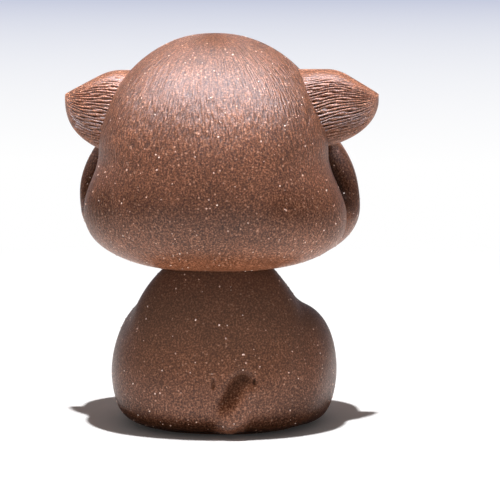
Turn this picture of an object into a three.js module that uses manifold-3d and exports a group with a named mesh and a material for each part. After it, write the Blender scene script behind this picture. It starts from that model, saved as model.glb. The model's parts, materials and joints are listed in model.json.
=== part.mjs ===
// A seated kitten tea pet in unglazed red-brown stoneware, about 80 mm tall.
// It is built as a potter builds it: two pressed half shells for the head, two for the body, and
// hand-formed ears, lids, muzzle, legs, paws and tail, each luted on with a thin layer of slip.
// Millimetres. The kitten faces -Y and sits on Z = 0, so its own left side is +X.
import * as THREE from "three";
import Module from "manifold-3d";
import { mergeVertices } from "three/addons/utils/BufferGeometryUtils.js";

const wasm = await Module();
wasm.setup();

// Driving dimensions shared by all the pieces
const slipGap = 0.3; // slip between two luted pieces
const wall = 3; // pressed clay wall of head and body
const seamY = 3; // upright plane where front and back halves meet
const neckBore = 4.5; // radius of the air way from head to body
const ventBore = 3.5; // radius of the firing vent in the base

// Head
const headTop = 80;
const headBottom = 32.1;
const headShift = 0.8; // the crown sits this far to the kitten's left
const jawShift = 0.2; // and the jaw only this far
const jawZ = 36; // below this height the jaw's shift holds
const headRear = 24; // furthest back
const faceFront = 22; // furthest forward, without the muzzle
const waistZ = 50; // height where the head is deepest
const skullHalfWidth = 23.2;
const domeRise = 24; // height of the round dome above the skull's sides
const napeHalfWidth = 26.6; // the skull flares to this before it turns under
const napeZ = 44;
const cheekHalfWidth = 28.9;
const cheekZ = 46;
const cheekRise = 22; // the cheek ruff dies out this far above its widest point
const cheekSetback = 10; // the ruff's crest lies this far in front of the seam
const creaseDepth = 2.2; // step from the skull's rim down to the back of the ruff
const channelDepth = 3.4; // and how much deeper the channel behind the ruff is pressed
const creaseFootZ = 42.5; // the step and the channel start here
const creaseRun = 6; // height over which they come in below
const creaseFade = 8; // and fade out above

// Ears
const earSpan = 64.2; // tip to tip
const earRootX = 14; // start of the ear's own form, inside the skull
const earTipZ = { left: 65.4, right: 65.7 }; // the two are made by hand and not quite alike
const earRiseAbove = { left: 6.5, right: 7 }; // top edge above the tip
const earDropBelow = { left: 11.4, right: 11 }; // bottom edge below the tip
const earPlaneY = -1.5; // plane of the ear's rim at the root
const earBulge = 11.5; // the rounded back stands this far behind the rim
const earSweep = 2; // the tip leans this far forward
const earWall = 2.2;
const earUpperPower = { left: 2.9, right: 3.3 }; // higher is blunter
const earLowerPower = { left: 2.8, right: 1.75 };

// Face
const eyeSpacing = 23;
const eyeAbovePads = 8.7;
const eyeHalfWidth = 4.3;
const eyeHalfHeight = 4.7;
const eyeHalfDepth = 1.9;
const lidThickness = 0.9; // radius of the rolled lid
const padHalfWidth = 5.4;
const padHalfHeight = 4.1;
const padHalfDepth = 3.6;
const padOverlap = 1.4; // the two pads are pressed together by this much
const padAboveChin = 4.6;
const padSink = 0.6;
const noseHalfWidth = 2.5;
const noseHalfHeight = 1.7;
const noseHalfDepth = 2;
const noseAbovePads = 4;
const noseProud = 2; // how far the nose stands out before the face
const chinHalfWidth = 3.8;
const chinHalfHeight = 2.6;
const chinHalfDepth = 3;
const chinAboveJaw = 5.6; // from the bottom of the head
const chinSink = 0.8; // how deep the pellet's middle is pressed in
const chinZ = headBottom + chinAboveJaw;
const padZ = chinZ + padAboveChin;
const noseZ = padZ + noseAbovePads;
const eyeZ = padZ + eyeAbovePads;

// Body
const bellyZ = 10; // height where the body is widest
const bellyHalfWidth = 20.6;
const bodyRear = 18;
const bodyFront = 14;
const bodyRise = 28; // from the widest height to the closed top, hidden in the head
const bodyDrop = 13; // from the widest height to where the sides would close below
const slabThickness = 2.6;

// Legs and tail
const haunchProud = 2.5; // how far the haunch stands out beyond the flank
const haunchShift = -0.7; // both haunches sit this far to the kitten's right
const haunchY = -3;
const haunchZ = 10.8;
const haunchHalfWidth = 8.6;
const haunchX = bellyHalfWidth + haunchProud - haunchHalfWidth;
const haunchHalfDepth = 14;
const haunchHalfHeight = 14;
const hindPawOutside = 1.7; // the paw's middle lies this far outside the haunch's
const hindPawY = -15.4;
const hindPawHalfWidth = 4.7;
const hindPawHalfDepth = 7.2;
const hindPawHalfHeight = 3.6;
const foreLegInset = 15.2; // how far the leg's middle lies inside the belly's side
const foreLegX = bellyHalfWidth - foreLegInset;
const foreLegRadius = 4;
const shoulderZ = 24;
const forePawY = -16.8;
const forePawHalfWidth = 4.5;
const forePawHalfDepth = 6;
const forePawHalfHeight = 3.6;
const toeCutWidth = 0.9;
const toeCutDepth = 1.4;
const tailRadius = 2.9;
const tailTipZ = 12.2;
const tailRootX = -3.4; // the root lies to the kitten's right
const tailLean = 3.2; // and the tip this much further
const tailSink = 1.5; // its middle is pressed this far into the back

const clay = new THREE.MeshStandardMaterial({ color: 0x8a5a46, roughness: 0.62, metalness: 0 });
const darkClay = new THREE.MeshStandardMaterial({ color: 0x241a16, roughness: 0.35, metalness: 0 });
const sides = { left: 1, right: -1 };

// Helpers for solids

function solidOf(geometry) {
  const bare = new THREE.BufferGeometry();
  bare.setAttribute("position", geometry.getAttribute("position"));
  bare.setIndex(geometry.getIndex());
  const merged = mergeVertices(bare, 1e-4);
  return new wasm.Manifold(
    new wasm.Mesh({
      numProp: 3,
      vertProperties: new Float32Array(merged.getAttribute("position").array),
      triVerts: new Uint32Array(merged.getIndex().array),
    }),
  );
}

function geometryOf(solid) {
  const mesh = solid.getMesh();
  const geometry = new THREE.BufferGeometry();
  const positions = new Float32Array(mesh.numVert * 3);
  for (let i = 0; i < mesh.numVert; i++) {
    const start = i * mesh.numProp;
    positions.set(mesh.vertProperties.subarray(start, start + 3), i * 3);
  }
  geometry.setAttribute("position", new THREE.BufferAttribute(positions, 3));
  geometry.setIndex(new THREE.BufferAttribute(new Uint32Array(mesh.triVerts), 1));
  geometry.computeVertexNormals();
  return geometry;
}

// Joins rings of points, counter-clockwise seen from the end of the stack, into one closed skin.
function skin(rings) {
  const sides = rings[0].length;
  const positions = rings.flat().flatMap((p) => [p.x, p.y, p.z]);
  const index = [];
  for (let r = 0; r + 1 < rings.length; r++) {
    for (let s = 0; s < sides; s++) {
      const next = (s + 1) % sides;
      const a = r * sides + s;
      const b = r * sides + next;
      index.push(a, b, b + sides, a, b + sides, a + sides);
    }
  }
  const ends = [rings[0], rings[rings.length - 1]];
  ends.forEach((ring, end) => {
    const centre = ring.reduce((sum, p) => sum.add(p), new THREE.Vector3()).divideScalar(sides);
    const hub = positions.length / 3;
    const first = end === 0 ? 0 : (rings.length - 1) * sides;
    positions.push(centre.x, centre.y, centre.z);
    for (let s = 0; s < sides; s++) {
      const here = first + s;
      const next = first + ((s + 1) % sides);
      index.push(...(end === 0 ? [hub, next, here] : [hub, here, next]));
    }
  });
  const geometry = new THREE.BufferGeometry();
  geometry.setAttribute("position", new THREE.Float32BufferAttribute(positions, 3));
  geometry.setIndex(index);
  return geometry;
}

// Curves shared by the lofts

// Height of a rounded arch over -1..1: power 2 is a circle, more is squarer.
function arch(t, power) {
  return Math.pow(Math.max(0, 1 - Math.pow(Math.abs(t), power)), 1 / power);
}

function smoothStep(low, high, value) {
  return THREE.MathUtils.smoothstep(value, low, high);
}

// The larger of two lengths, with the corner where they cross rounded off.
function softMax(a, b) {
  const blend = 0.025 * (a + b);
  return (a + b + Math.hypot(a - b, blend)) / 2;
}

function signedPower(value, power) {
  return Math.sign(value) * Math.pow(Math.abs(value), power);
}

// Heights from bottom to top, closer together towards both ends.
function levels(bottom, middle, top, count) {
  return Array.from({ length: count + 1 }, (_, i) => {
    const angle = ((i / count) * 2 - 1) * (Math.PI / 2);
    const reach = angle < 0 ? middle - bottom : top - middle;
    return middle + reach * Math.sin(angle);
  });
}

// Head: the skull's half width, the ruff's crest and the depths behind and before the seam.
// grow moves the whole surface out, or in where it is negative.

const domeZ = headTop - domeRise;

function skullHalf(z, grow) {
  if (z >= domeZ) return (skullHalfWidth + grow) * arch((z - domeZ) / (domeRise + grow), 2);
  if (z >= napeZ) {
    const flare = smoothStep(napeZ, domeZ, z);
    return grow + THREE.MathUtils.lerp(napeHalfWidth, skullHalfWidth, flare);
  }
  return (napeHalfWidth + grow) * arch((napeZ - z) / (napeZ - headBottom + grow), 2.5);
}

function skullDepth(z, grow) {
  const depth = headRear - seamY + grow;
  if (z >= waistZ) return depth * arch((z - waistZ) / (headTop - waistZ + grow), 2);
  return depth * arch((waistZ - z) / (waistZ - headBottom + grow), 2.4);
}

function cheekHalf(z, grow) {
  const half = cheekHalfWidth + grow;
  if (z >= cheekZ) return half * arch(Math.min(1, (z - cheekZ) / (cheekRise + grow)), 2);
  return half * arch((cheekZ - z) / (cheekZ - headBottom + grow), 2.4);
}

function faceDepth(z, grow) {
  const depth = faceFront + seamY + grow;
  if (z >= waistZ) return depth * arch((z - waistZ) / (headTop - waistZ + grow), 2.3);
  return depth * arch((waistZ - z) / (waistZ - headBottom + grow), 2.4);
}

// How much of the crease and channel there is at one height, from 0 to 1.
function creaseShare(z) {
  const rise = smoothStep(creaseFootZ, creaseFootZ + creaseRun, z);
  const fall = 1 - smoothStep(domeZ + creaseFade / 2, domeZ + creaseFade * 1.5, z);
  return rise * fall;
}

// The middle of the head at one height.
function headX(z) {
  return THREE.MathUtils.lerp(jawShift, headShift, smoothStep(jawZ, waistZ, z));
}

const skullPower = 2.1;
const facePower = 2.5;
const channelStart = 0.06; // from the ruff's crest, as a share of the way to the seam
const channelEnd = 0.66;

// What the face's outline is at one height: at the seam, at the crest, and in depth. pressed is 1
// for the finished face and 0 for the face before the crease and channel are pressed.
function faceOutline(z, grow, pressed = 1) {
  const atSeam = Math.max(0, skullHalf(z, grow) - pressed * creaseDepth * creaseShare(z));
  const atCrest = Math.max(0.05, softMax(cheekHalf(z, grow), atSeam));
  const depth = Math.max(0.05, faceDepth(z, grow));
  const crestBack = cheekSetback * (depth / (faceFront + seamY));
  const share = Math.min(0.9999, atSeam / atCrest);
  const backReach = crestBack / Math.pow(1 - Math.pow(share, facePower), 1 / facePower);
  return { atCrest, depth, crestBack, backReach };
}

// Half of a head or body, flat on the seam plane. towards is +1 behind the seam and -1 before it,
// trim pulls the flat face away from the seam, and a negative trim lets it run past.
function halfLoft(heights, outlineAt, towards, trim, centreAt) {
  const rings = heights.map((z) => {
    const half = outlineAt(z);
    const kept = trim < 0 ? half : half.slice(1);
    const side = [new THREE.Vector2(half[0].x, trim)];
    kept.forEach((p, i) => {
      const y = Math.max(p.y * towards, trim + 0.01 * (i + 1));
      side.push(new THREE.Vector2(p.x, y));
    });
    const mirrored = side.slice(0, -1).map((p) => new THREE.Vector2(-p.x, p.y));
    const ring = [...side, ...mirrored.reverse()];
    const placed = ring.map((p) => new THREE.Vector3(centreAt(z) + p.x, seamY + p.y * towards, z));
    return towards > 0 ? placed : placed.reverse();
  });
  return solidOf(skin(rings));
}

// A quarter of an arched outline from the side (angle 0) to the middle, in share of a right angle.
function quarter(halfWidth, depth, offset, power, towards, steps) {
  return Array.from({ length: steps + 1 }, (_, i) => {
    const angle = (i / steps) * (Math.PI / 2);
    const x = Math.max(halfWidth, 0.05) * signedPower(Math.cos(angle), 2 / power);
    const y = offset + Math.max(depth, 0.05) * signedPower(Math.sin(angle), 2 / power);
    return new THREE.Vector2(i === steps ? 0 : x, towards * y);
  });
}

function skullHalfSolid(grow, trim, detail = 1) {
  const count = Math.round(20 * detail);
  const steps = Math.round(10 * detail);
  const heights = levels(headBottom - grow, waistZ, headTop + grow, count);
  const outlineAt = (z) => quarter(skullHalf(z, grow), skullDepth(z, grow), 0, skullPower, 1, steps);
  return halfLoft(heights, outlineAt, 1, trim, headX);
}

function faceHalfSolid(grow, trim, detail = 1, pressed = 1) {
  const count = Math.round(20 * detail);
  const steps = Math.round(10 * detail);
  const backSteps = Math.round(5 * detail);
  const heights = levels(headBottom - grow, waistZ, headTop + grow, count);
  const outlineAt = (z) => {
    const { atCrest, depth, crestBack, backReach } = faceOutline(z, grow, pressed);
    const back = Array.from({ length: backSteps }, (_, i) => {
      const share = 1 - i / backSteps;
      const channel = channelDepth * creaseShare(z) * smoothStep(channelStart, channelEnd, share);
      const x = atCrest * arch((share * crestBack) / backReach, facePower) - pressed * channel;
      return new THREE.Vector2(Math.max(0.05, x), (share - 1) * crestBack);
    });
    const front = quarter(atCrest, depth - crestBack, crestBack, facePower, -1, steps);
    return [...back, ...front];
  };
  return halfLoft(heights, outlineAt, -1, trim, headX);
}

// The whole head as one lump, for cutting the seats of what is luted to it.
function headLump(grow, detail = 1, pressed = 1) {
  return skullHalfSolid(grow, -0.5, detail).add(faceHalfSolid(grow, 0, detail, pressed));
}

const headSeat = headLump(slipGap);
const earSeat = headLump(slipGap, 1, 0); // the ears go on before the channels are pressed

// Where the face's surface lies at x from the head's middle and z, and which way it faces there.
function faceY(x, z) {
  const { atCrest, depth, crestBack } = faceOutline(z, 0);
  return seamY - crestBack - (depth - crestBack) * arch(x / atCrest, facePower);
}

function faceNormal(x, z) {
  const step = 0.2;
  const slopeX = (faceY(x + step, z) - faceY(x - step, z)) / (2 * step);
  const slopeZ = (faceY(x, z + step) - faceY(x, z - step)) / (2 * step);
  return new THREE.Vector3(slopeX, -1, slopeZ).normalize();
}

// Body: one outline for both halves, deeper behind than before.

const bodyPower = 2.2;

function bodyShare(z) {
  if (z >= bellyZ) return arch((z - bellyZ) / bodyRise, 1.8);
  return arch((bellyZ - z) / bodyDrop, 3);
}

const bodyTop = bellyZ + bodyRise;

function bodyHalfSolid(grow, trim, towards, bottom = 0, detail = 1) {
  const reach = towards > 0 ? bodyRear - seamY : bodyFront + seamY;
  const heights = levels(bottom, bellyZ, bodyTop, Math.round(18 * detail));
  const outlineAt = (z) => {
    const share = bodyShare(Math.max(0, z));
    const halfWidth = Math.max(0.05, bellyHalfWidth * share + grow);
    const depth = Math.max(0.05, reach * share + grow);
    return quarter(halfWidth, depth, 0, bodyPower, towards, Math.round(10 * detail));
  };
  return halfLoft(heights, outlineAt, towards, trim, () => 0);
}

function bodyLump(grow) {
  return bodyHalfSolid(grow, -0.5, 1).add(bodyHalfSolid(grow, 0, -1));
}

const bodySeat = bodyLump(slipGap);

// Simple forms

function bore(radius, bottom, top) {
  const geometry = new THREE.CylinderGeometry(radius, radius, top - bottom, 24);
  geometry.rotateX(Math.PI / 2);
  geometry.translate(0, seamY, (top + bottom) / 2);
  return solidOf(geometry);
}

function ellipsoid(half, centre, normal = null, detail = 18) {
  const geometry = new THREE.SphereGeometry(1, detail, Math.round(detail * 0.6));
  geometry.rotateX(Math.PI / 2);
  geometry.scale(half.x, half.y, half.z);
  if (normal) geometry.applyQuaternion(turnTo(normal));
  geometry.translate(centre.x, centre.y, centre.z);
  return solidOf(geometry);
}

// Turns a form that faces -Y to face along a normal.
function turnTo(normal) {
  return new THREE.Quaternion().setFromUnitVectors(new THREE.Vector3(0, -1, 0), normal);
}

const groundSize = 200;

function belowGround() {
  const geometry = new THREE.BoxGeometry(groundSize, groundSize, groundSize);
  geometry.translate(0, 0, -groundSize / 2);
  return solidOf(geometry);
}

// A hand-rolled coil of clay: round sections along a curve, with rounded ends.
function coil(points, radii, sides) {
  const path = new THREE.CatmullRomCurve3(points);
  const steps = 12;
  const frames = path.computeFrenetFrames(steps, false);
  const length = path.getLength();
  const radiusCurve = new THREE.SplineCurve(radii.map((r, i) => new THREE.Vector2(i, r)));
  const rings = [];
  for (let i = 0; i <= steps; i++) {
    const t = i / steps;
    const centre = path.getPointAt(t);
    const full = radiusCurve.getPoint(t).y;
    const fromEnd = Math.min(t, 1 - t) * length;
    const radius = full * arch(1 - Math.min(1, (fromEnd + 0.02 * full) / full), 2);
    rings.push(
      Array.from({ length: sides }, (_, s) => {
        const angle = (s / sides) * 2 * Math.PI;
        return centre
          .clone()
          .addScaledVector(frames.normals[i], radius * Math.cos(angle))
          .addScaledVector(frames.binormals[i], radius * Math.sin(angle));
      }),
    );
  }
  return solidOf(skin(rings));
}

// Shells of the head

const neckCut = bore(neckBore, headBottom - 12, headBottom + 12);

function headBackShell() {
  const hollow = skullHalfSolid(-wall, -0.5, 0.6);
  return skullHalfSolid(0, slipGap / 2).subtract(hollow).subtract(neckCut);
}

function eyeFrame(side) {
  const x = (side * eyeSpacing) / 2;
  const centre = new THREE.Vector3(headX(eyeZ) + x, faceY(x, eyeZ), eyeZ);
  return { centre, normal: faceNormal(x, eyeZ) };
}

function eyeForm(side, grow) {
  const { centre, normal } = eyeFrame(side);
  const half = new THREE.Vector3(eyeHalfWidth, eyeHalfDepth, eyeHalfHeight).addScalar(grow);
  return ellipsoid(half, centre, normal, 16);
}

function faceShell() {
  const hollow = faceHalfSolid(-wall, -0.5, 0.6);
  const shell = faceHalfSolid(0, slipGap / 2).subtract(hollow).subtract(neckCut);
  return shell.subtract(eyeForm(1, slipGap)).subtract(eyeForm(-1, slipGap));
}

// A coil of clay laid round the eye and pressed to the face.
function eyelid(side) {
  const { centre, normal } = eyeFrame(side);
  const ring = new THREE.TorusGeometry(1, lidThickness / eyeHalfWidth, 7, 24);
  ring.rotateX(Math.PI / 2);
  ring.scale(eyeHalfWidth, eyeHalfWidth * 0.9, eyeHalfHeight);
  ring.applyQuaternion(turnTo(normal));
  ring.translate(centre.x, centre.y, centre.z);
  return solidOf(ring).subtract(headSeat).subtract(eyeForm(side, slipGap));
}

// Ears

// One ear as a folded leaf: a rounded back and a hollow front, from the skull to the tip.
function ear(word) {
  const side = sides[word];
  const tipX = earSpan / 2;
  const rings = [];
  const steps = 10;
  const arc = 8;
  for (let i = 0; i <= steps; i++) {
    const s = Math.sin((i / steps) * (Math.PI / 2)) * 0.995;
    const x = THREE.MathUtils.lerp(earRootX, tipX, s);
    const above = earRiseAbove[word] * Math.pow(1 - Math.pow(s, earUpperPower[word]), 1 / 1.4);
    const below = earDropBelow[word] * arch(s, earLowerPower[word]);
    const middle = earTipZ[word] + (above - below) / 2;
    const half = (above + below) / 2;
    const thick = Math.min(earWall, half * 0.45);
    const bulge = Math.max(thick * 1.1, earBulge * arch(s, 1.7));
    const rimY = earPlaneY - earSweep * s;
    const back = (share, inset) => {
      const angle = share * Math.PI;
      const z = middle + (half - inset) * Math.cos(angle);
      return new THREE.Vector3(side * x, rimY + (bulge - inset) * Math.sin(angle), z);
    };
    const outer = Array.from({ length: arc + 1 }, (_, k) => back(k / arc, 0));
    const inner = Array.from({ length: arc + 1 }, (_, k) => back(1 - k / arc, thick));
    const ring = [...outer, ...inner];
    rings.push(side > 0 ? ring.reverse() : ring);
  }
  return solidOf(skin(rings)).subtract(earSeat);
}

// Muzzle, nose and chin

const padX = padHalfWidth - padOverlap / 2;
const muzzleX = headX(padZ);

function padForm(side, grow) {
  const centre = new THREE.Vector3(muzzleX + side * padX, faceY(padX, padZ) + padSink, padZ);
  const half = new THREE.Vector3(padHalfWidth, padHalfDepth, padHalfHeight).addScalar(grow);
  return ellipsoid(half, centre, null, 16);
}

function sideOf(side) {
  const geometry = new THREE.BoxGeometry(groundSize, groundSize, groundSize);
  geometry.translate(muzzleX + (side * (groundSize + slipGap)) / 2, 0, 0);
  return solidOf(geometry);
}

function muzzlePad(side) {
  return padForm(side, 0).subtract(headSeat).intersect(sideOf(side));
}

function noseForm(grow) {
  const centre = new THREE.Vector3(muzzleX, noseHalfDepth - faceFront - noseProud, noseZ);
  const half = new THREE.Vector3(noseHalfWidth, noseHalfDepth, noseHalfHeight).addScalar(grow);
  return ellipsoid(half, centre, null, 16);
}

function nose() {
  const seats = [headSeat, padForm(1, slipGap), padForm(-1, slipGap)];
  return seats.reduce((s, seat) => s.subtract(seat), noseForm(0));
}

function chin() {
  const centre = new THREE.Vector3(muzzleX, faceY(0, chinZ) + chinSink, chinZ);
  const half = new THREE.Vector3(chinHalfWidth, chinHalfDepth, chinHalfHeight);
  const seats = [headSeat, padForm(1, slipGap), padForm(-1, slipGap)];
  return seats.reduce((s, seat) => s.subtract(seat), ellipsoid(half, centre, null, 16));
}

// Shells of the body, dished on top where the head rests

const bodyHollowTop = headLump(slipGap + wall, 0.6);

function bodyShell(towards) {
  const hollow = bodyHalfSolid(-wall, -0.5, towards, -1, 0.6).subtract(bodyHollowTop);
  return bodyHalfSolid(0, slipGap / 2, towards)
    .subtract(hollow)
    .subtract(headSeat)
    .subtract(neckCut);
}

// The disc that closes the body below, with its firing vent.
function baseSlab() {
  const rim = bodyShare(0);
  const inset = -wall - slipGap;
  const rings = [0, slabThickness].map((z) => {
    const count = 36;
    return Array.from({ length: count }, (_, i) => {
      const angle = (i / count) * 2 * Math.PI;
      const reach = Math.sin(angle) > 0 ? bodyRear - seamY : bodyFront + seamY;
      const x = (bellyHalfWidth * rim + inset) * signedPower(Math.cos(angle), 2 / bodyPower);
      const y = (reach * rim + inset) * signedPower(Math.sin(angle), 2 / bodyPower);
      return new THREE.Vector3(x, seamY + y, z);
    });
  });
  return solidOf(skin(rings)).subtract(bore(ventBore, -1, slabThickness + 1));
}

// Legs, paws and tail

function haunchForm(side, grow) {
  const centre = new THREE.Vector3(haunchShift + side * haunchX, haunchY, haunchZ);
  const half = new THREE.Vector3(haunchHalfWidth, haunchHalfDepth, haunchHalfHeight);
  return ellipsoid(half.addScalar(grow), centre, null, 24);
}

function haunch(side) {
  return haunchForm(side, 0).subtract(bodySeat).subtract(belowGround());
}

// An upright V cut between two toes, at the front of a paw.
function toeCut(x, front, height) {
  const vee = new THREE.Shape();
  vee.moveTo(-toeCutWidth / 2, -toeCutDepth);
  vee.lineTo(toeCutWidth / 2, -toeCutDepth);
  vee.lineTo(0, toeCutDepth);
  vee.closePath();
  const geometry = new THREE.ExtrudeGeometry(vee, { depth: height, bevelEnabled: false });
  geometry.translate(x, front, -height * 0.1);
  return solidOf(geometry);
}

function toed(paw, centre, half) {
  const cuts = [-0.45, 0, 0.45].map((share) => {
    const x = centre.x + share * half.x;
    const front = centre.y - half.y * Math.sqrt(1 - share * share);
    return toeCut(x, front, half.z * 1.6);
  });
  return cuts.reduce((s, cut) => s.subtract(cut), paw);
}

function hindPaw(side) {
  const x = haunchShift + side * (haunchX + hindPawOutside);
  const centre = new THREE.Vector3(x, hindPawY, hindPawHalfHeight * 0.85);
  const half = new THREE.Vector3(hindPawHalfWidth, hindPawHalfDepth, hindPawHalfHeight);
  const paw = ellipsoid(half, centre, null, 16)
    .subtract(haunchForm(side, slipGap))
    .subtract(bodySeat)
    .subtract(belowGround());
  return toed(paw, centre, half);
}

function foreLeg(side) {
  const x = side * foreLegX;
  const pawZ = forePawHalfHeight * 0.85;
  const chestY = -bodyFront * 0.62;
  const leg = coil(
    [
      new THREE.Vector3(x * 1.12, chestY, shoulderZ),
      new THREE.Vector3(x * 1.16, -bodyFront * 0.93, shoulderZ * 0.66),
      new THREE.Vector3(x * 1.04, forePawY * 0.9, shoulderZ * 0.33),
      new THREE.Vector3(x, forePawY * 0.93, pawZ * 0.9),
    ],
    [foreLegRadius * 0.9, foreLegRadius, foreLegRadius * 0.9, foreLegRadius * 0.9],
    12,
  );
  const centre = new THREE.Vector3(x, forePawY, pawZ);
  const half = new THREE.Vector3(forePawHalfWidth, forePawHalfDepth, forePawHalfHeight);
  const limb = leg
    .add(ellipsoid(half, centre, null, 16))
    .subtract(bodySeat)
    .subtract(headSeat)
    .subtract(haunchForm(side, slipGap))
    .subtract(belowGround());
  return toed(limb, centre, half);
}

function tail() {
  const onBack = (x, z) => {
    const share = bodyShare(z);
    const across = arch(x / (bellyHalfWidth * share), bodyPower);
    const y = seamY + (bodyRear - seamY) * share * across - tailSink;
    return new THREE.Vector3(x, y, z);
  };
  const roll = coil(
    [
      onBack(tailRootX, tailRadius * 0.55),
      onBack(tailRootX - tailLean * 0.3, tailTipZ * 0.45),
      onBack(tailRootX - tailLean * 0.7, tailTipZ * 0.78),
      onBack(tailRootX - tailLean, tailTipZ),
    ],
    [tailRadius, tailRadius, tailRadius * 0.95, tailRadius * 0.88],
    12,
  );
  return roll.subtract(bodySeat).subtract(belowGround());
}

// Assembly

const kitten = new THREE.Group();

function place(name, solid, material, group) {
  const mesh = new THREE.Mesh(geometryOf(solid), material);
  mesh.name = name;
  group.add(mesh);
}

const head = new THREE.Group();
place("head_back_shell", headBackShell(), clay, head);
place("face_shell", faceShell(), clay, head);
place("nose", nose(), darkClay, head);
place("chin", chin(), clay, head);

const body = new THREE.Group();
place("body_back_shell", bodyShell(1), clay, body);
place("body_front_shell", bodyShell(-1), clay, body);
place("base_slab", baseSlab(), clay, body);
place("tail", tail(), clay, body);

for (const [word, side] of Object.entries(sides)) {
  place(`ear_${word}`, ear(word), clay, head);
  place(`eye_${word}`, eyeForm(side, 0), darkClay, head);
  place(`eyelid_${word}`, eyelid(side), clay, head);
  place(`muzzle_pad_${word}`, muzzlePad(side), clay, head);
  place(`haunch_${word}`, haunch(side), clay, body);
  place(`hind_paw_${word}`, hindPaw(side), clay, body);
  place(`foreleg_${word}`, foreLeg(side), clay, body);
}

kitten.add(head, body);

export default kitten;
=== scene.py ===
import json
import math
import bpy
import numpy as np
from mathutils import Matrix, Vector

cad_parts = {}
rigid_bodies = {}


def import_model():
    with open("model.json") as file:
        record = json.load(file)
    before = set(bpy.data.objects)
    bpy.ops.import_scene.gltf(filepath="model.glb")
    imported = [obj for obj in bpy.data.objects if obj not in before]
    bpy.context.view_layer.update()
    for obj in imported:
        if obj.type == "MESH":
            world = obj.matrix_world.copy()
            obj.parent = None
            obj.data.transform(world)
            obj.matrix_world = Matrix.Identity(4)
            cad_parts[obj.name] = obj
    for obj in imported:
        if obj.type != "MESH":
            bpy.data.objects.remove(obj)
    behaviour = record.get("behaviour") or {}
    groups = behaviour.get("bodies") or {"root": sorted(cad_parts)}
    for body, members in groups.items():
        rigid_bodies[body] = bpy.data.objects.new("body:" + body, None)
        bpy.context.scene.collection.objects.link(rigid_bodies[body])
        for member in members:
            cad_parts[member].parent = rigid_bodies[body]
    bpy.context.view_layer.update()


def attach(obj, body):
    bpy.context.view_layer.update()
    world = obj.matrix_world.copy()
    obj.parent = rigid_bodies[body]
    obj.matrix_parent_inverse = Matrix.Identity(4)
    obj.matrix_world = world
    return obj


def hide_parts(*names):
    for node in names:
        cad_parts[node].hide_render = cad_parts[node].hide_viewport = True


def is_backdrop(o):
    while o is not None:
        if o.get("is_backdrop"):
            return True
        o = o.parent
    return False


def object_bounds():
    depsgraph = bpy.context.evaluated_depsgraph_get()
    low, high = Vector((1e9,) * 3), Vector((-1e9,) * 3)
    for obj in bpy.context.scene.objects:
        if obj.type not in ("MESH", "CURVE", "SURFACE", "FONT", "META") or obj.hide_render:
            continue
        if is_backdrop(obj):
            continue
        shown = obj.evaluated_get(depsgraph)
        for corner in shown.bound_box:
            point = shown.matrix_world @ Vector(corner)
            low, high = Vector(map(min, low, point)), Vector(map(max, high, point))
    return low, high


# A kitten tea pet of unglazed red-brown stoneware. Sizes are in millimetres until a mesh is made.
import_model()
print("frame loaded")

mm = 0.001

# small helpers come first, then the camera, the materials and the pieces


def hexColour(text):
    channels = [int(text[i:i + 2], 16) / 255 for i in (0, 2, 4)]
    linear = [c / 12.92 if c <= 0.04045 else ((c + 0.055) / 1.055) ** 2.4 for c in channels]
    return (*linear, 1)


def arch(t, power):
    return np.maximum(0.0, 1 - np.abs(t) ** power) ** (1 / power)


def smoothStep(low, high, value):
    t = np.clip((value - low) / (high - low), 0, 1)
    return t * t * (3 - 2 * t)


def smoothMin(a, b, blend):
    h = np.maximum(blend - np.abs(a - b), 0) / blend
    return np.minimum(a, b) - h * h * blend / 4


def smoothMax(a, b, blend):
    return -smoothMin(-a, -b, blend)


def handRipple(points, wavelength, height, seed):
    # the slow unevenness that fingers leave in pressed clay
    rng = np.random.default_rng(seed)
    total = np.zeros(len(points))
    for _ in range(6):
        direction = rng.normal(size=3)
        direction /= np.linalg.norm(direction)
        stretch = rng.uniform(0.7, 1.5)
        phase = rng.uniform(0, 2 * math.pi)
        total += np.sin(points @ direction * 2 * math.pi * stretch / wavelength + phase)
    return total * height / 2.5


# camera: behind the kitten, a little to its right, level with its head

camera = {
    "azimuth": 185, "elevation": 8, "distance": 480, "lens": 169.7,
    "target": (0, 0, 40), "right": 6.2, "down": 4.2,
}


def placeCamera(values):
    a, e = math.radians(values["azimuth"]), math.radians(values["elevation"])
    back = Vector((math.sin(a) * math.cos(e), -math.cos(a) * math.cos(e), math.sin(e)))
    right = Vector((math.cos(a), math.sin(a), 0))
    up = back.cross(right)
    aim = Vector(values["target"]) + right * values["right"] - up * values["down"]
    data = bpy.data.cameras.new("camera")
    data.lens = values["lens"]
    data.clip_start = 0.01
    data.clip_end = 20
    thing = bpy.data.objects.new("camera", data)
    bpy.context.collection.objects.link(thing)
    thing.location = (aim + back * values["distance"]) * mm
    thing.rotation_euler = back.to_track_quat("Z", "Y").to_euler()
    bpy.context.scene.camera = thing


placeCamera(camera)
print("camera placed")

# materials

# settings that many nodes share
times = {"operation": "MULTIPLY"}
timesPlus = {"operation": "MULTIPLY_ADD"}
larger = {"operation": "MAXIMUM"}
mixColours = {"data_type": "RGBA"}
multiplyColours = {"data_type": "RGBA", "blend_type": "MULTIPLY"}


# In a material the kind is given without its ShaderNode. An input is given by its name, or by its number
# after an underscore. A node given to it stands for that node's first output.
def addNode(tree, kind, settings=None, **inputs):
    node = tree.nodes.new("ShaderNode" + kind if tree.type == "SHADER" else kind)
    for key, value in (settings or {}).items():
        setattr(node, key, value)
    for key, value in inputs.items():
        name = int(key[1:]) if key[0] == "_" else key.replace("_", " ")
        value = value.outputs[0] if isinstance(value, bpy.types.Node) else value
        if isinstance(value, bpy.types.NodeSocket):
            tree.links.new(value, node.inputs[name])
        else:
            node.inputs[name].default_value = value
    return node


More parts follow.
